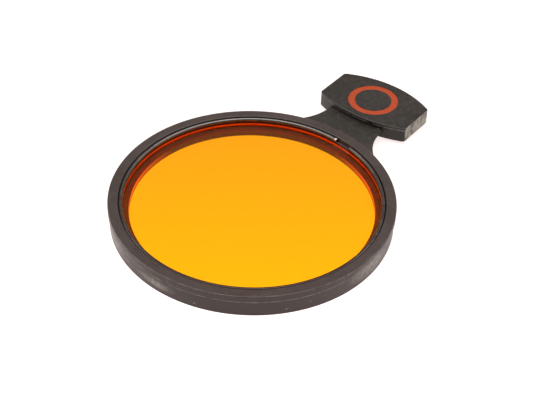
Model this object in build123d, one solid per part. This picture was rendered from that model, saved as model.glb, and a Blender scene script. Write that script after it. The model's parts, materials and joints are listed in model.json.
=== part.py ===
from build123d import *
import math
import os

# A drop-in safelight filter for the lens of an enlarger or a darkroom lamp: an orange glass disc held in a
# moulded ring by a split wire ring, with a flat finger grip on a short neck.
# Millimetres. The origin is on the ring's axis at its underside, +Z up, and the grip points along +Y.

# Ring
ring_height = 6.0
lip_radius = 35.0           # the upper band of the outer wall stands slightly proud
lip_height = 1.8
wall_radius = 34.75         # the lower band
bore_radius = 32.45         # upper part of the bore, round the wire
ledge_level = 4.82          # the step that the wire rests on
aperture_radius = 30.0      # clear opening under the glass
seat_thickness = 1.5        # the ledge that the glass rests on
foot_round = 0.2            # rounding of the ring's bottom edge
rim_round = 0.22            # rounding of the ring's two top edges and of the lip's nose

# Filter glass
glass_radius = 31.65
glass_thickness = 3.0
glass_clearance = 0.12      # radial, in the lower part of the bore
glass_bevel = 0.2

# Split wire ring that keeps the glass down
wire_radius = 0.5
wire_wall_clearance = 0.05
wire_ledge_clearance = 0.03
gap_start_angle = 5.0       # degrees from the grip's centreline, clockwise from above
gap_end_angle = 13.1
pick_notch_width = 0.25     # shallow cut near one wire end, where a pick lifts it
pick_notch_depth = 0.15
pick_notch_setback = 0.7

# Grip: a barrel shape with two bulging edges and two straight ends
grip_centre_y = 53.3
grip_width = 27.3
grip_end_length = 11.3      # length of each straight end
grip_far_reach = 9.25       # from the centre to the middle of the far bulging edge
grip_near_reach = 8.65      # the same on the neck's side
grip_underside = 0.6
grip_thickness = 4.3
grip_corner_round = 1.0
grip_edge_round = 0.25

# Neck between the ring and the grip
neck_underside = 2.4
neck_thickness = 0.9
neck_waist = 16.8           # width at the narrowest place
neck_waist_y = 45.0
neck_offset = -0.3          # of the neck's middle from the ring's centreline
neck_side_radius = 14.0     # of the concave part of each side
neck_grip_angle = 12.0      # degrees of that arc beyond the waist, which end inside the grip
neck_flank_angle = 40.0     # degrees of that arc on the ring's side, before the side runs out straight
neck_flank_length = 9.0

# Colour mark on the grip: an annular groove filled with paint
mark_outer_radius = 6.75
mark_inner_radius = 4.9
mark_offset = -0.3          # of its centre from the grip's, the same way as the neck
mark_groove_depth = 0.35
mark_sunk = 0.1             # the paint's surface lies this far below the grip's face

glass_bore_radius = glass_radius + glass_clearance
tolerance = 0.01            # for finding corners by their place


def ring_section():
    """Half section of the ring, in the XZ plane."""
    lip_bottom = ring_height - lip_height
    lip_step = lip_radius - wall_radius
    with BuildSketch(Plane.XZ) as section:
        with BuildLine():
            Polyline(
                (aperture_radius, 0),
                (wall_radius, 0),
                (wall_radius, lip_bottom - lip_step),
                (lip_radius, lip_bottom),
                (lip_radius, ring_height),
                (bore_radius, ring_height),
                (bore_radius, ledge_level),
                (glass_bore_radius, ledge_level),
                (glass_bore_radius, seat_thickness),
                (aperture_radius, seat_thickness),
                close=True,
            )
        make_face()
        corners = section.vertices()
        top_edges = [v for v in corners if abs(v.Z - ring_height) < tolerance]
        foot_edge = [v for v in corners if abs(v.Z) < tolerance and abs(v.X - wall_radius) < tolerance]
        lip_nose = [v for v in corners if abs(v.Z - lip_bottom) < tolerance and abs(v.X - lip_radius) < tolerance]
        fillet(top_edges, rim_round)
        fillet(foot_edge, foot_round)
        fillet(lip_nose, rim_round)
    return section.sketch


def grip_outline():
    """Plan of the grip: straight ends joined by two arcs that bulge outwards."""
    half_width = grip_width / 2
    half_end = grip_end_length / 2
    with BuildSketch() as outline:
        with BuildLine(Location((0, grip_centre_y))):
            ThreePointArc((-half_width, half_end), (0, grip_far_reach), (half_width, half_end))
            Line((half_width, half_end), (half_width, -half_end))
            ThreePointArc((half_width, -half_end), (0, -grip_near_reach), (-half_width, -half_end))
            Line((-half_width, -half_end), (-half_width, half_end))
        make_face()
        fillet(outline.vertices(), grip_corner_round)
    return outline.sketch


def neck_side(hand):
    """Points of one side of the neck, from the grip to the ring. hand is 1 for +X and -1 for -X."""
    flank = math.radians(neck_flank_angle)
    centre_x = neck_waist / 2 + neck_side_radius
    arc_middle = (
        centre_x - neck_side_radius * math.cos(flank / 2),
        neck_waist_y - neck_side_radius * math.sin(flank / 2),
    )
    arc_end = (
        centre_x - neck_side_radius * math.cos(flank),
        neck_waist_y - neck_side_radius * math.sin(flank),
    )
    grip_rise = math.radians(neck_grip_angle)
    grip_end = (
        centre_x - neck_side_radius * math.cos(grip_rise),
        neck_waist_y + neck_side_radius * math.sin(grip_rise),
    )
    ring_end = (
        arc_end[0] + neck_flank_length * math.sin(flank),
        arc_end[1] - neck_flank_length * math.cos(flank),
    )
    return [(neck_offset + hand * x, y) for x, y in (grip_end, arc_middle, arc_end, ring_end)]


def neck_outline():
    """Plan of the neck, run into the ring's wall at one end and into the grip at the other."""
    right = neck_side(1)
    left = neck_side(-1)
    wall_middle = (bore_radius + wall_radius) / 2
    with BuildSketch() as outline:
        with BuildLine():
            ThreePointArc(right[0], right[1], right[2])
            Line(right[2], right[3])
            Line(right[3], left[3])
            Line(left[3], left[2])
            ThreePointArc(left[2], left[1], left[0])
            Line(left[0], right[0])
        make_face()
        Circle(wall_middle, mode=Mode.SUBTRACT)
    return outline.sketch


def make_holder():
    """Ring, neck and grip, moulded in one piece."""
    ring = revolve(ring_section(), Axis.Z)
    neck = Pos(0, 0, neck_underside) * extrude(neck_outline(), neck_thickness)
    grip = Pos(0, 0, grip_underside) * extrude(grip_outline(), grip_thickness)
    rims = grip.faces().sort_by(Axis.Z)
    grip = fillet(rims[0].edges() + rims[-1].edges(), grip_edge_round)
    return ring + neck + grip - mark_ring(mark_groove_depth, 0)


def mark_ring(depth, sunk):
    """Annulus in the grip's upper face, from depth below the face up to sunk below it."""
    face_z = grip_underside + grip_thickness
    annulus = Circle(mark_outer_radius) - Circle(mark_inner_radius)
    return Pos(mark_offset, grip_centre_y, face_z - depth) * extrude(annulus, depth - sunk)


def make_glass():
    """Filter disc with ground bevels, standing on the seat."""
    disc = Pos(0, 0, seat_thickness) * Cylinder(
        glass_radius,
        glass_thickness,
        align=(Align.CENTER, Align.CENTER, Align.MIN),
    )
    return chamfer(disc.edges(), glass_bevel)


def make_snap_ring():
    """Round wire bent to an open ring, lying on the ledge against the bore and over the glass's edge."""
    centre_radius = bore_radius - wire_wall_clearance - wire_radius
    centre_z = ledge_level + wire_ledge_clearance + wire_radius
    sweep_angle = 360 - (gap_end_angle - gap_start_angle)
    start_angle = 90 - gap_start_angle
    wire_section = Plane.XZ * Pos(centre_radius, centre_z) * Circle(wire_radius)
    wire = Rot(0, 0, start_angle) * revolve(wire_section, Axis.Z, revolution_arc=sweep_angle)
    notch_angle = start_angle + math.degrees(pick_notch_setback / centre_radius)
    notch = Pos(centre_radius, 0, centre_z + wire_radius) * Box(
        2 * wire_radius,
        pick_notch_width,
        2 * pick_notch_depth,
    )
    return wire - Rot(0, 0, notch_angle) * notch


parts = {
    "holder": make_holder(),
    "filter_glass": make_glass(),
    "snap_ring": make_snap_ring(),
    "colour_mark": mark_ring(mark_groove_depth, mark_sunk),
}

os.makedirs("parts", exist_ok=True)
for node, shape in parts.items():
    export_step(shape, f"parts/{node}.step")
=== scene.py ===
import json
import math

import bmesh
import bpy
from mathutils import Matrix, Vector


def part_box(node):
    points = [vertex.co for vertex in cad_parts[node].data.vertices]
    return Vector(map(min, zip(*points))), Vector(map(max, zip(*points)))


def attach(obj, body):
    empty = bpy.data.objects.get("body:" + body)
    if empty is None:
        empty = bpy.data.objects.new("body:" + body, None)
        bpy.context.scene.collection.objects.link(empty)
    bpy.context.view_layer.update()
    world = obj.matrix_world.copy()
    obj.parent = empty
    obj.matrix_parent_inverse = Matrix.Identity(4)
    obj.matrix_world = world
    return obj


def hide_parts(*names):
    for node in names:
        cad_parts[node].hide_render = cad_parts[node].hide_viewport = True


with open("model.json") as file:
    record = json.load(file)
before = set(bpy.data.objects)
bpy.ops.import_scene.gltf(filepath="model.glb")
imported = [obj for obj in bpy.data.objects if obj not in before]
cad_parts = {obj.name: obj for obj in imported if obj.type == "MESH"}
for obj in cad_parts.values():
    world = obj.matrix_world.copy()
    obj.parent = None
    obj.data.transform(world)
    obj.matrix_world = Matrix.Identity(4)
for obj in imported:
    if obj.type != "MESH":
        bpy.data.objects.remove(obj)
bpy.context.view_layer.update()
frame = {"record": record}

# Sizes, in metres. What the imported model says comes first, then the small features that only the looks need.
MM = 0.001
mounts = {mount["name"]: mount for mount in frame["record"]["mounts"]}
holder_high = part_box("holder")[1]
glass_low, glass_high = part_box("filter_glass")
wire_low, wire_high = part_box("snap_ring")
mark_low, mark_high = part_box("colour_mark")

ring_top = holder_high.z
lip_radius = holder_high.x
glass_radius = glass_high.x
aperture_radius = mounts["light_aperture"]["dims"]["r_mm"] * MM
wire_radius = (wire_high.z - wire_low.z) / 2
wire_level = (wire_high.z + wire_low.z) / 2
wire_circle = wire_high.x - wire_radius
mark_centre = (mark_low + mark_high).xy / 2
mark_outer = (mark_high.x - mark_low.x) / 2
grip_far = holder_high.y

bore_radius = 32.45 * MM
ledge_level = 4.82 * MM
glass_bore_radius = glass_radius + 0.12 * MM
wall_radius = 34.75 * MM
lip_height = 1.8 * MM
glass_seat_gap = 0.03 * MM
seat_level = glass_low.z - glass_seat_gap
rim_round = 0.22 * MM
foot_round = 0.08 * MM

grip_centre = Vector((0, 53.3 * MM))
grip_width = 27.3 * MM
grip_end_length = 11.3 * MM
grip_near_reach = 8.65 * MM
grip_low = 0.6 * MM
grip_top = 4.9 * MM
grip_corner_round = 1.0 * MM
grip_edge_round = 0.25 * MM

neck_low = 2.4 * MM
neck_top = 3.3 * MM
neck_waist = 16.8 * MM
neck_offset = -0.3 * MM
neck_waist_y = 45.0 * MM
neck_side_radius = 14.0 * MM
neck_grip_angle = math.radians(12)
neck_flank_angle = math.radians(40)
neck_flank_length = 9.0 * MM
neck_cutter_inner = 10 * MM
neck_cutter_outer = 33.5 * MM
neck_top_round = 0.15 * MM
neck_foot_round = 0.45 * MM

mark_inner = 4.9 * MM
mark_groove_depth = 0.35 * MM

wire_gap = (math.radians(5.0), math.radians(13.1))    # clockwise from the grip
pick_setback = 0.7 * MM
pick_width = 0.25 * MM
pick_depth = 0.15 * MM
RING_SEGMENTS = 360

# Level directions that some of the tones vary along.
FRONT = (0.606, -0.795, 0)
SIDEWAYS = (0.795, 0.606, 0)

# Camera: its direction from the ring, its distance and lens, and how far its aim is off the ring's centre.
camera_azimuth = math.radians(37.28)
camera_elevation = math.radians(39.9)
camera_distance = 8.496 * lip_radius
camera_lens = 82.83
camera_pan = math.radians(-0.6623)
camera_tilt = math.radians(-0.195)
camera_roll = math.radians(1.194)


def camera():
    """Looks down at the ring from the front right, with the lens that gives the object's perspective."""
    turn = Matrix.Rotation(camera_azimuth, 4, "Z") @ Matrix.Rotation(math.pi / 2 - camera_elevation, 4, "X")
    back = turn @ Vector((0, 0, 1))
    aim = (
        Matrix.Rotation(camera_pan, 4, "Y")
        @ Matrix.Rotation(camera_tilt, 4, "X")
        @ Matrix.Rotation(camera_roll, 4, "Z")
    )
    data = bpy.data.cameras.new("camera")
    data.sensor_width = 36
    data.lens = camera_lens
    data.clip_start = 0.01
    data.clip_end = 20
    seen_from = bpy.data.objects.new("camera", data)
    place = Matrix.Translation(Vector((0, 0, ring_top)) + back * camera_distance)
    seen_from.matrix_world = place @ turn @ aim
    bpy.context.scene.collection.objects.link(seen_from)
    bpy.context.scene.camera = seen_from


# ---- mesh helpers ----

def link(name, mesh):
    """A new object in the scene."""
    piece = bpy.data.objects.new(name, mesh)
    bpy.context.scene.collection.objects.link(piece)
    return piece


def arc(centre, radius, start, end, steps):
    """Points of an arc, both ends included. Angles in radians."""
    angles = [start + (end - start) * i / steps for i in range(steps + 1)]
    return [Vector((centre[0] + radius * math.cos(a), centre[1] + radius * math.sin(a))) for a in angles]


def rounded(corners, steps=5):
    """A closed outline from (point, radius) corners, with an arc at each corner that has a radius."""
    outline = []
    for i, (corner, radius) in enumerate(corners):
        here = Vector(corner)
        if radius == 0:
            outline.append(here)
            continue
        to_last = (Vector(corners[i - 1][0]) - here).normalized()
        to_next = (Vector(corners[(i + 1) % len(corners)][0]) - here).normalized()
        half = to_last.angle(to_next) / 2
        reach = radius / math.tan(half)
        centre = here + (to_last + to_next).normalized() * radius / math.sin(half)
        start = here + to_last * reach - centre
        turn = math.pi - 2 * half
        side = 1 if start.cross(here + to_next * reach - centre) > 0 else -1
        for k in range(steps + 1):
            outline.append(centre + Matrix.Rotation(side * turn * k / steps, 2) @ start)
    return outline


def loft(rings, closed=False):
    """A mesh through rings of points: quads between neighbours, and caps at the ends unless it is closed."""
    built = bmesh.new()
    rows = [[built.verts.new(p) for p in ring] for ring in rings]
    count = len(rows)
    for i in range(count if closed else count - 1):
        low, high = rows[i], rows[(i + 1) % count]
        for k in range(len(low)):
            after = (k + 1) % len(low)
            built.faces.new((low[k], low[after], high[after], high[k]))
    if not closed:
        built.faces.new(list(reversed(rows[0])))
        built.faces.new(rows[-1])
    bmesh.ops.recalc_face_normals(built, faces=built.faces)
    mesh = bpy.data.meshes.new("loft")
    built.to_mesh(mesh)
    built.free()
    return mesh


def rectangle(inner, outer, low, high):
    """A (radius, height) section between two radii and two heights."""
    return [Vector(p) for p in ((inner, low), (outer, low), (outer, high), (inner, high))]


def revolved(section, segments=RING_SEGMENTS):
    """A closed (radius, height) section turned about the Z axis."""
    rings = []
    for i in range(segments):
        angle = 2 * math.pi * i / segments
        rings.append([(p.x * math.cos(angle), p.x * math.sin(angle), p.y) for p in section])
    return loft(rings, closed=True)


def inset(outline, distance):
    """A dense outline, anticlockwise, moved inwards."""
    moved = []
    for i, point in enumerate(outline):
        along = (outline[(i + 1) % len(outline)] - outline[i - 1]).normalized()
        moved.append(point + Vector((-along.y, along.x)) * distance)
    return moved


def slab(outline, low, high, foot_round, top_round, steps=4):
    """A plate of that outline, with rounded lower and upper edges."""
    rings = []
    for k in range(steps + 1):
        angle = math.pi / 2 * k / steps
        rings.append((foot_round * (1 - math.sin(angle)), low + foot_round * (1 - math.cos(angle))))
    for k in range(steps, -1, -1):
        angle = math.pi / 2 * k / steps
        rings.append((top_round * (1 - math.sin(angle)), high - top_round * (1 - math.cos(angle))))
    return loft([[(p.x, p.y, level) for p in inset(outline, shrink)] for shrink, level in rings])


def combined(base, operation, *others):
    """The base object's mesh after a boolean with each of the others, which are removed."""
    for other in others:
        step = base.modifiers.new(operation, "BOOLEAN")
        step.operation = operation
        step.solver = "EXACT"
        step.object = other
    graph = bpy.context.evaluated_depsgraph_get()
    mesh = bpy.data.meshes.new_from_object(base.evaluated_get(graph))
    base.modifiers.clear()
    base.data = mesh
    for other in others:
        bpy.data.objects.remove(other)
    return base


def smooth(piece, angle=32):
    """Smooth shading with sharp edges above that many degrees, and normals that favour the large faces."""
    piece.data.shade_smooth()
    piece.data.set_sharp_from_angle(angle=math.radians(angle))
    even = piece.modifiers.new("even_normals", "WEIGHTED_NORMAL")
    even.keep_sharp = True


# ---- the moulded holder ----

def ring_section():
    """Half section of the ring, from the aperture round by the outside to the seat."""
    lip_bottom = ring_top - lip_height
    lip_step = lip_radius - wall_radius
    return rounded([
        ((aperture_radius, 0), 0),
        ((wall_radius, 0), foot_round),
        ((wall_radius, lip_bottom - lip_step), 0),
        ((lip_radius, lip_bottom), rim_round),
        ((lip_radius, ring_top), rim_round),
        ((bore_radius, ring_top), rim_round),
        ((bore_radius, ledge_level), 0),
        ((glass_bore_radius, ledge_level), 0.1 * MM),
        ((glass_bore_radius, seat_level), 0),
        ((aperture_radius, seat_level), 0.08 * MM),
    ])


def grip_outline():
    """Barrel shape: straight ends and edges that bulge outwards, anticlockwise, with rounded corners."""
    near = bulged_half(grip_near_reach)
    return [p + grip_centre for p in bulged_half(grip_far - grip_centre.y) + [-p for p in near]]


def bulged_half(reach):
    """The half of the grip's outline beyond its centre line, from +X round to -X, that reaches so far out."""
    half_width = grip_width / 2
    half_end = grip_end_length / 2
    bulge = reach - half_end
    radius = (half_width ** 2 + bulge ** 2) / (2 * bulge)
    centre_y = half_end + bulge - radius
    # The corner's arc touches the straight end and, from inside, the bulging edge.
    corner_x = half_width - grip_corner_round
    corner_y = centre_y + math.sqrt((radius - grip_corner_round) ** 2 - corner_x ** 2)
    lean = math.atan2(corner_y - centre_y, corner_x)
    corner = arc((corner_x, corner_y), grip_corner_round, 0, lean, 8)
    far_edge = arc((0, centre_y), radius, lean, math.pi - lean, 60)
    return corner + far_edge[1:-1] + [Vector((-p.x, p.y)) for p in reversed(corner)]


def neck_outline():
    """Concave sides that run out straight to the ring, anticlockwise."""
    centre_x = neck_waist / 2 + neck_side_radius
    start = math.pi + neck_flank_angle
    end = math.pi - neck_grip_angle
    right = arc((centre_x, neck_waist_y), neck_side_radius, start, end, 40)
    run = Vector((math.sin(neck_flank_angle), -math.cos(neck_flank_angle))) * neck_flank_length
    right = [right[0] + run] + right
    left = [Vector((-p.x, p.y)) for p in reversed(right)]
    return [p + Vector((neck_offset, 0)) for p in right + left]


def holder():
    """Ring, neck and grip as one clean shell, with the groove for the mark."""
    shell = link("holder_moulding", revolved(ring_section()))
    neck_plate = link("neck_plate", slab(neck_outline(), neck_low, neck_top, neck_foot_round, neck_top_round))
    # The neck's plate ends inside the ring's wall.
    neck_cutter = rectangle(neck_cutter_inner, neck_cutter_outer, -10 * MM, 20 * MM)
    neck_plate = combined(neck_plate, "DIFFERENCE", link("neck_cutter", revolved(neck_cutter)))
    grip = link("grip", slab(grip_outline(), grip_low, grip_top, grip_edge_round, grip_edge_round))
    groove_section = rectangle(mark_inner, mark_outer, grip_top - mark_groove_depth, grip_top + MM)
    groove = link("groove", revolved(groove_section, 128))
    groove.location.xy = mark_centre
    combined(grip, "DIFFERENCE", groove)
    combined(shell, "UNION", neck_plate, grip)
    smooth(shell)
    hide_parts("holder")
    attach(shell, "filter_holder")
    return shell


def colour_mark():
    """Paint in the groove: it creeps up the walls, so its face is slightly hollow."""
    top = mark_high.z
    low = mark_low.z
    count = 14
    section = [Vector((mark_inner, low)), Vector((mark_outer, low))]
    for k in range(count + 1):
        across = k / count
        radius = mark_outer + (mark_inner - mark_outer) * across
        hollow = 0.06 * MM * (1 - (2 * across - 1) ** 4)
        section.append(Vector((radius, top - hollow)))
    paint = link("mark_paint", revolved(section, 160))
    for vertex in paint.data.vertices:
        vertex.co.xy += mark_centre
    smooth(paint)
    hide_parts("colour_mark")
    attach(paint, "filter_holder")
    return paint


def snap_ring():
    """Round wire bent to an open ring, with rounded cut ends and a notch for a pick."""
    start = math.pi / 2 - wire_gap[0]
    sweep = 2 * math.pi - (wire_gap[1] - wire_gap[0])
    end = start + sweep
    steps = 420
    around = 28
    end_round = 0.12 * MM
    lead = end_round / wire_circle
    # How far along each end, and how much thinner the wire is there.
    rounding = ((0, end_round), (lead * 0.3, end_round * 0.3), (lead, 0))
    stations = [(start + along, wire_radius - thinner) for along, thinner in rounding]
    stations += [(start + sweep * i / steps, wire_radius) for i in range(2, steps - 1)]
    stations += [(end - along, wire_radius - thinner) for along, thinner in reversed(rounding)]
    rings = []
    for angle, radius in stations:
        outwards = Vector((math.cos(angle), math.sin(angle), 0))
        ring = []
        for k in range(around):
            turn = 2 * math.pi * k / around
            level = Vector((0, 0, wire_level + radius * math.sin(turn)))
            ring.append(outwards * (wire_circle + radius * math.cos(turn)) + level)
        rings.append(ring)
    wire = link("snap_wire", loft(rings))
    notch_turn = Matrix.Rotation(start + pick_setback / wire_circle, 4, "Z")
    half = pick_width / 2
    corners = ((-MM, -half), (MM, -half), (MM, half), (-MM, half))
    levels = (wire_high.z - pick_depth, wire_high.z + MM)
    notch = [[notch_turn @ Vector((wire_circle + x, y, level)) for x, y in corners] for level in levels]
    combined(wire, "DIFFERENCE", link("pick_notch", loft(notch)))
    smooth(wire, 50)
    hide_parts("snap_ring")
    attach(wire, "retaining_ring")
    return wire


def filter_glass():
    """Polished disc with ground bevels and a ground edge, which are its second material."""
    bevel = 0.2 * MM
    low, high = glass_low.z, glass_high.z
    rings = []
    for radius, level in ((glass_radius - bevel, low), (glass_radius, low + bevel),
                          (glass_radius, high - bevel), (glass_radius - bevel, high)):
        angles = [2 * math.pi * i / RING_SEGMENTS for i in range(RING_SEGMENTS)]
        rings.append([(radius * math.cos(angle), radius * math.sin(angle), level) for angle in angles])
    disc = link("orange_disc", loft(rings))
    for face in disc.data.polygons:
        face.material_index = 0 if abs(face.normal.z) > 0.99 else 1
    smooth(disc, 20)
    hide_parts("filter_glass")
    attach(disc, "glass")
    return disc


# ---- materials ----

def new_material(name):
    """A node material: the material, its tree, its Principled shader and the position on the object."""
    material = bpy.data.materials.new(name)
    material.use_nodes = True
    tree = material.node_tree
    place = tree.nodes.new("ShaderNodeTexCoord").outputs["Object"]
    return material, tree, tree.nodes["Principled BSDF"], place


def preset(node, **values):
    """The node with some of its inputs set by name, where _ stands for a space."""
    for name, value in values.items():
        node.inputs[name.replace("_", " ")].default_value = value
    return node


def add(tree, kind, **values):
    """A new node with some of its inputs set by name."""
    return preset(tree.nodes.new(kind), **values)


def axes(tree, place):
    """X, Y and Z of a position."""
    split = tree.nodes.new("ShaderNodeSeparateXYZ")
    tree.links.new(place, split.inputs["Vector"])
    return split.outputs["X"], split.outputs["Y"], split.outputs["Z"]


def ramp(tree, value, *stops):
    """Colour of a value, from (position, colour) stops."""
    node = tree.nodes.new("ShaderNodeValToRGB")
    while len(node.color_ramp.elements) < len(stops):
        node.color_ramp.elements.new(1)
    for element, (position, colour) in zip(node.color_ramp.elements, stops):
        element.position = position
        element.color = (*colour, 1)
    tree.links.new(value, node.inputs["Fac"])
    return node.outputs["Color"]


def graded(tree, value, low, high, start=0.0, end=1.0):
    """The value mapped from low..high to start..end, held at both ends."""
    node = add(tree, "ShaderNodeMapRange", From_Min=low, From_Max=high, To_Min=start, To_Max=end)
    tree.links.new(value, node.inputs["Value"])
    return node.outputs["Result"]


def maths(tree, operation, first, second=0.0):
    """One step of arithmetic on sockets or plain numbers."""
    node = tree.nodes.new("ShaderNodeMath")
    node.operation = operation
    for socket, value in zip(node.inputs, (first, second)):
        if isinstance(value, (int, float)):
            socket.default_value = value
        else:
            tree.links.new(value, socket)
    return node.outputs["Value"]


def mixed(tree, amount, first, second):
    """Colour between first and second. Each is a socket or a plain colour."""
    node = tree.nodes.new("ShaderNodeMix")
    node.data_type = "RGBA"
    tree.links.new(amount, node.inputs["Factor"])
    for socket, value in zip((node.inputs[6], node.inputs[7]), (first, second)):
        if isinstance(value, tuple):
            socket.default_value = (*value, 1)
        else:
            tree.links.new(value, socket)
    return node.outputs[2]


def cloud(tree, place, scale, detail=4, roughness=0.6):
    """Noise over a position."""
    node = add(tree, "ShaderNodeTexNoise", Scale=scale, Detail=detail, Roughness=roughness)
    tree.links.new(place, node.inputs["Vector"])
    return node.outputs["Fac"]


def relief(tree, shader, height, strength):
    """Fine unevenness of the surface."""
    bump = add(tree, "ShaderNodeBump", Strength=strength, Distance=0.02 * MM)
    tree.links.new(height, bump.inputs["Height"])
    tree.links.new(bump.outputs["Normal"], shader.inputs["Normal"])


def distance_along(tree, place, direction):
    """How far a position lies in a level direction from the ring's axis."""
    along = tree.nodes.new("ShaderNodeVectorMath")
    along.operation = "DOT_PRODUCT"
    tree.links.new(place, along.inputs[0])
    along.inputs[1].default_value = direction
    return along.outputs["Value"]


def spot(tree, place, centre, turn, size):
    """Soft ellipsoid mask: 1 at the centre, 0 outside. turn is about Z."""
    ellipsoid = add(tree, "ShaderNodeMapping", Location=centre, Rotation=(0, 0, turn), Scale=size)
    ellipsoid.vector_type = "TEXTURE"
    tree.links.new(place, ellipsoid.inputs["Vector"])
    reach = tree.nodes.new("ShaderNodeVectorMath")
    reach.operation = "LENGTH"
    tree.links.new(ellipsoid.outputs["Vector"], reach.inputs[0])
    return graded(tree, reach.outputs["Value"], 0.3, 1.0, 1.0, 0.0)


def on_wall(angle, height, along, across):
    """Place, turn and size of a mark on the ring's outer wall. Degrees and millimetres."""
    turn = math.radians(angle)
    centre = (lip_radius * math.cos(turn), lip_radius * math.sin(turn), height * MM)
    return centre, turn, (max(1, along / 3) * MM, along * MM, across * MM)


# Rubbed places on the outer wall: angle from +X in degrees, then height, half length and half width in mm.
SCUFFS = [
    on_wall(268, 1.9, 2.2, 0.45),
    on_wall(270.5, 2.6, 0.9, 0.25),
    on_wall(285.7, 1.3, 1.0, 0.4),
    on_wall(243, 2.4, 1.1, 0.6),
    on_wall(252, 2.0, 0.8, 0.5),
    on_wall(309, 4.25, 0.6, 0.2),
    on_wall(324, 4.25, 0.7, 0.2),
    on_wall(333, 4.25, 0.6, 0.2),
    on_wall(330, 2.2, 0.5, 0.3),
    on_wall(321, 1.4, 0.5, 0.3),
    on_wall(205, 1.6, 1.2, 0.5),
    on_wall(20, 2.0, 1.2, 0.4),
    on_wall(150, 2.5, 1.4, 0.5),
]

# Broad lighter stretches of the wall, partly dust and partly a painted sheen, in the same terms.
DUSTY_AND_SHEEN = [
    on_wall(231, 2.2, 16, 3.2),
    on_wall(268, 2.2, 7, 1.5),
    on_wall(0, 3.2, 9, 3.0),
    on_wall(120, 2.2, 10, 2.2),
]


def strongest(tree, place, marks):
    """Mask of all those marks together."""
    mask = 0.0
    for centre, turn, size in marks:
        mask = maths(tree, "MAXIMUM", spot(tree, place, centre, turn, size), mask)
    return mask


def moulded_tone(tree, place, y, clouds, mottle):
    """Near black with faint brown clouds, a painted red glow from the glass towards the front, and painted
    shade on the neck and grip.
    """
    tone = ramp(tree, clouds, (0.3, (0.0195, 0.0120, 0.0098)), (0.7, (0.0285, 0.0172, 0.0142)))
    # Painted red glow from the glass, growing towards the front.
    painted_glow_front = graded(tree, distance_along(tree, place, FRONT), 12 * MM, 28 * MM, 0.0, 0.6)
    tone = mixed(tree, painted_glow_front, tone, (0.0185, 0.0055, 0.0040))
    # Painted shade: darker beyond the ring, on the neck and grip.
    painted_shade_beyond_ring = graded(tree, y, 34.5 * MM, 38.5 * MM, 0.0, 0.95)
    tone = mixed(tree, painted_shade_beyond_ring, tone, (0.0065, 0.0045, 0.0025))
    return mixed(tree, graded(tree, mottle, 0.45, 0.75, 0.0, 0.4), tone, (0.032, 0.025, 0.021))


def grip_ends(tree, x, y):
    """Mask of the grip's two short ends."""
    half_width = grip_width / 2
    outermost = graded(tree, maths(tree, "ABSOLUTE", x), half_width - 0.12 * MM, half_width - 0.05 * MM)
    return maths(tree, "MULTIPLY", outermost, graded(tree, y, 44 * MM, 44.5 * MM))


def with_raw_ends(tree, place, ends, tone):
    """The tone with pale upright cuts on the grip's ends."""
    stretched = add(tree, "ShaderNodeMapping", Scale=(1, 1, 0.3))
    tree.links.new(place, stretched.inputs["Vector"])
    cuts = graded(tree, cloud(tree, stretched.outputs["Vector"], 1300, 4, 0.7), 0.38, 0.58, 0.15, 1.0)
    return mixed(tree, maths(tree, "MULTIPLY", ends, cuts), tone, (0.26, 0.235, 0.195))


def with_edge_wear_and_highlight(tree, place, radius, z, tone):
    """The tone with a lighter line along the ridge under the lip and along the edge on top of it: partly
    rubbed wear, partly a painted highlight.
    """
    ridge_level = ring_top - lip_height + 0.05 * MM
    off_ridge = maths(tree, "ABSOLUTE", maths(tree, "SUBTRACT", z, ridge_level))
    ridge = maths(tree, "MULTIPLY", graded(tree, off_ridge, 0.08 * MM, 0.22 * MM, 1.0, 0.0),
                  graded(tree, radius, lip_radius - 0.12 * MM, lip_radius - 0.02 * MM))
    edge = maths(tree, "MULTIPLY", graded(tree, z, ring_top - 0.16 * MM, ring_top - 0.05 * MM),
                 graded(tree, radius, lip_radius - 0.22 * MM, lip_radius - 0.1 * MM))
    # These lighter lines are partly rubbed wear and partly a painted highlight.
    worn_and_highlight = maths(tree, "MULTIPLY", maths(tree, "MAXIMUM", ridge, maths(tree, "MULTIPLY", edge, 0.6)),
                 graded(tree, cloud(tree, place, 420, 5, 0.75), 0.38, 0.60))
    return mixed(tree, maths(tree, "MULTIPLY", worn_and_highlight, 0.9), tone, (0.15, 0.13, 0.122))


def with_dust_and_sheen(tree, place, mottle, scuffs, tone):
    """The tone with lighter stretches of dust and painted sheen, scuffs and specks."""
    patchy = graded(tree, mottle, 0.38, 0.62, 0.15, 0.85)
    # Lighter stretches: partly dust, partly a painted sheen.
    dust_and_sheen = maths(tree, "MULTIPLY", strongest(tree, place, DUSTY_AND_SHEEN), patchy)
    tone = mixed(tree, dust_and_sheen, tone, (0.22, 0.195, 0.165))
    tone = mixed(tree, maths(tree, "MULTIPLY", scuffs, 0.9), tone, (0.26, 0.235, 0.22))
    specks = graded(tree, cloud(tree, place, 1700, 2, 0.4), 0.75, 0.775)
    return mixed(tree, maths(tree, "MULTIPLY", specks, 0.7), tone, (0.16, 0.15, 0.14))


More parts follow.
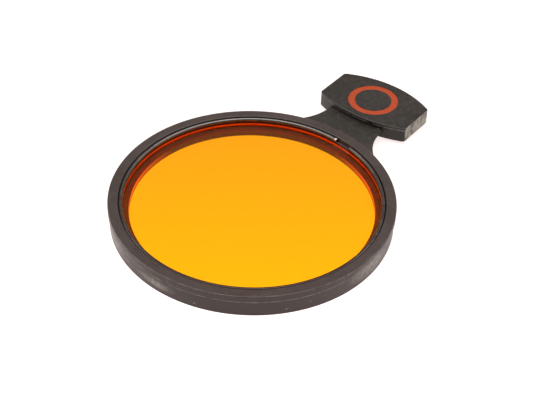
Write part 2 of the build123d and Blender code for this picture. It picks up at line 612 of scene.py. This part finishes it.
def with_seat(tree, place, radius, z, mottle, tone):
    """The tone with a purplish seat, and an aperture wall that is orange-red to the left and right.

    The orange-red stands in for light from the glass.
    """
    inside_bore = graded(tree, radius, glass_bore_radius - 0.02 * MM, glass_bore_radius - 0.01 * MM, 1.0, 0.0)
    below_glass = graded(tree, z, seat_level + 0.05 * MM, seat_level + 0.1 * MM, 1.0, 0.0)
    seat_tone = ramp(tree, mottle, (0.35, (0.085, 0.018, 0.045)), (0.65, (0.120, 0.032, 0.065)))
    tone = mixed(tree, maths(tree, "MULTIPLY", inside_bore, below_glass), tone, seat_tone)
    at_aperture = graded(tree, radius, aperture_radius + 0.03 * MM, aperture_radius + 0.05 * MM, 1.0, 0.0)
    opening = maths(tree, "MULTIPLY", at_aperture, graded(tree, z, 0.2 * MM, 0.4 * MM))
    to_side = maths(tree, "ABSOLUTE", distance_along(tree, place, SIDEWAYS))
    opening = maths(tree, "MULTIPLY", opening, graded(tree, to_side, 21 * MM, 29 * MM))
    return mixed(tree, opening, tone, (0.9, 0.2, 0.03))


def moulding_material():
    """Black thermoset: clouds, grain, a painted red glow at the front, painted shade on the neck and grip,
    rubbed edges partly painted as highlights, scuffs, dust partly painted as sheen, raw grip ends and a
    coloured seat.
    """
    material, tree, shader, place = new_material("black_moulding")
    x, y, z = axes(tree, place)
    squares = [maths(tree, "MULTIPLY", side, side) for side in (x, y)]
    radius = maths(tree, "SQRT", maths(tree, "ADD", *squares))
    clouds = cloud(tree, place, 90, 5)
    mottle = cloud(tree, place, 1100, 3)
    grain = cloud(tree, place, 3000, 4)
    ends = grip_ends(tree, x, y)
    rubbed = graded(tree, cloud(tree, place, 1800, 5, 0.75), 0.44, 0.58)
    scuffs = maths(tree, "MULTIPLY", strongest(tree, place, SCUFFS), rubbed)

    tone = moulded_tone(tree, place, y, clouds, mottle)
    tone = with_raw_ends(tree, place, ends, tone)
    tone = with_edge_wear_and_highlight(tree, place, radius, z, tone)
    tone = with_dust_and_sheen(tree, place, mottle, scuffs, tone)
    tone = with_seat(tree, place, radius, z, mottle, tone)
    tree.links.new(tone, shader.inputs["Base Color"])

    rough = graded(tree, clouds, 0.3, 0.7, 0.34, 0.48)
    rough = maths(tree, "ADD", rough, graded(tree, mottle, 0.35, 0.7, -0.04, 0.08))
    rough = maths(tree, "ADD", rough, maths(tree, "MULTIPLY", maths(tree, "MAXIMUM", scuffs, ends), 0.2))
    tree.links.new(rough, shader.inputs["Roughness"])
    relief(tree, shader, maths(tree, "ADD", grain, maths(tree, "MULTIPLY", mottle, 0.8)), 0.35)
    preset(shader, Specular_IOR_Level=0.4)
    return material


def wire_material():
    """Dark drawn spring wire: streaks, patches, a painted red reflection of the glass on its underside, a
    darker front and a bright cut end.
    """
    material, tree, shader, place = new_material("spring_wire")
    preset(shader, Metallic=1.0)
    streaks = add(tree, "ShaderNodeTexWave", Scale=900, Distortion=3, Detail=3)
    streaks.wave_type = "RINGS"
    streaks.rings_direction = "Z"
    tree.links.new(place, streaks.inputs["Vector"])
    clouds = cloud(tree, place, 420, 4)
    tone = ramp(tree, clouds, (0.3, (0.085, 0.076, 0.070)), (0.7, (0.125, 0.113, 0.106)))
    tone = mixed(tree, maths(tree, "MULTIPLY", streaks.outputs["Fac"], 0.3), tone, (0.06, 0.055, 0.052))
    z = axes(tree, place)[2]
    # Painted red reflection of the glass on the wire's underside.
    painted_red_reflection = graded(tree, z, wire_level - 0.3 * MM, wire_level + 0.05 * MM, 0.9, 0.0)
    tone = mixed(tree, painted_red_reflection, tone, (0.34, 0.075, 0.03))
    # Darker towards the front.
    darker_front = graded(tree, distance_along(tree, place, FRONT), 12 * MM, 24 * MM, 0.0, 0.9)
    tone = mixed(tree, darker_front, tone, (0.022, 0.014, 0.011))
    start = math.pi / 2 - wire_gap[0]
    tip = (wire_circle * math.cos(start), wire_circle * math.sin(start), wire_level)
    cut = spot(tree, place, tip, start, (1.2 * MM, 0.75 * MM, 1.2 * MM))
    tone = mixed(tree, graded(tree, cut, 0.0, 0.5), tone, (0.38, 0.34, 0.31))
    tree.links.new(tone, shader.inputs["Base Color"])
    rough = maths(tree, "ADD", graded(tree, clouds, 0.3, 0.7, 0.22, 0.36),
                  maths(tree, "MULTIPLY", streaks.outputs["Fac"], 0.08))
    tree.links.new(rough, shader.inputs["Roughness"])
    return material


def glass_material():
    """Clear glass, coloured orange by absorption through its depth, with faint smears."""
    material, tree, shader, place = new_material("orange_glass")
    preset(shader, Base_Color=(1, 1, 1, 1), Transmission_Weight=1.0, IOR=1.5)
    preset(shader, Specular_Tint=(1, 0.6, 0.0, 1), Specular_IOR_Level=0.3)
    smears = cloud(tree, place, 60, 4, 0.5)
    tree.links.new(graded(tree, smears, 0.4, 0.75, 0.0, 0.05), shader.inputs["Roughness"])
    depth = add(tree, "ShaderNodeVolumeAbsorption", Color=(0.999, 0.914, 0.1, 1), Density=2600)
    tree.links.new(depth.outputs["Volume"], tree.nodes["Material Output"].inputs["Volume"])
    return material


def ground_edge_material():
    """Ground glass with a painted red glow near the top, given off as emission, and painted shade lower down
    in the bore.
    """
    material, tree, shader, place = new_material("ground_glass_edge")
    preset(shader, Emission_Strength=0.2, Roughness=0.7)
    grain = cloud(tree, place, 1500, 5)
    glow = ramp(tree, grain, (0.3, (0.75, 0.12, 0.03)), (0.7, (0.9, 0.2, 0.05)))
    # Painted light: the top of the edge is red and glows by emission, and the lower part is painted dark as
    # shade.
    painted_light_mask = graded(tree, axes(tree, place)[2], glass_high.z - 2.1 * MM, glass_high.z - 1.1 * MM)
    tree.links.new(mixed(tree, painted_light_mask, (0.0, 0.0, 0.0), (1.0, 0.10, 0.01)), shader.inputs["Emission Color"])
    tree.links.new(mixed(tree, painted_light_mask, (0.10, 0.040, 0.025), glow), shader.inputs["Base Color"])
    relief(tree, shader, grain, 0.3)
    return material


def paint_material():
    """Orange-red paint, slightly uneven in tone."""
    material, tree, shader, place = new_material("mark_paint")
    preset(shader, Roughness=0.5, Specular_IOR_Level=0.22)
    clouds = cloud(tree, place, 500, 3, 0.5)
    tone = ramp(tree, clouds, (0.0, (0.215, 0.026, 0.004)), (1.0, (0.265, 0.034, 0.006)))
    tree.links.new(tone, shader.inputs["Base Color"])
    return material


def floor_material():
    """Matt pale floor with a soft glow of its own, as on a light table, stronger towards the front."""
    material, tree, shader, place = new_material("pale_floor")
    preset(shader, Base_Color=(0.2, 0.2, 0.2, 1), Roughness=0.9, Specular_IOR_Level=0.0)
    preset(shader, Emission_Color=(1, 0.88, 0.86, 1))
    glow = graded(tree, distance_along(tree, place, FRONT), -aperture_radius, aperture_radius, 0.88, 1.2)
    tree.links.new(glow, shader.inputs["Emission Strength"])
    return material


# ---- floor and light ----

def panel(name, place, size, radiance):
    """A square white area lamp that faces the object. radiance is the brightness of its face."""
    data = bpy.data.lights.new(name, "AREA")
    data.shape = "SQUARE"
    data.size = size
    data.energy = radiance * math.pi * size ** 2
    lamp = bpy.data.objects.new(name, data)
    lamp.location = place
    lamp.rotation_euler = Vector(place).to_track_quat("Z", "Y").to_euler()
    bpy.context.scene.collection.objects.link(lamp)


def studio():
    """A plain pale floor, an even pale surround, a soft lamp overhead and a soft panel on each side."""
    reach = 2
    floor_depth = 0.002
    corners = ((-reach, -reach), (reach, -reach), (reach, reach), (-reach, reach))
    floor = link("floor", loft([[(x, y, level) for x, y in corners] for level in (-floor_depth, 0)]))
    floor.data.materials.append(floor_material())
    panel("overhead", (-0.05, 0.1, 1.0), 0.7, 6.5)
    for side, name in ((-1, "left_side"), (1, "right_side")):
        panel(name, (side * 0.64, side * 0.5, 0.75), 0.9, 3.2)
    world = bpy.data.worlds.new("surround")
    world.use_nodes = True
    preset(world.node_tree.nodes["Background"], Color=(1, 0.93, 0.88, 1), Strength=0.5)
    bpy.context.scene.world = world
    bpy.context.scene.view_settings.view_transform = "Standard"


# ---- making ----

camera()
holder().data.materials.append(moulding_material())
colour_mark().data.materials.append(paint_material())
snap_ring().data.materials.append(wire_material())
disc = filter_glass()
disc.data.materials.append(glass_material())
disc.data.materials.append(ground_edge_material())
studio()
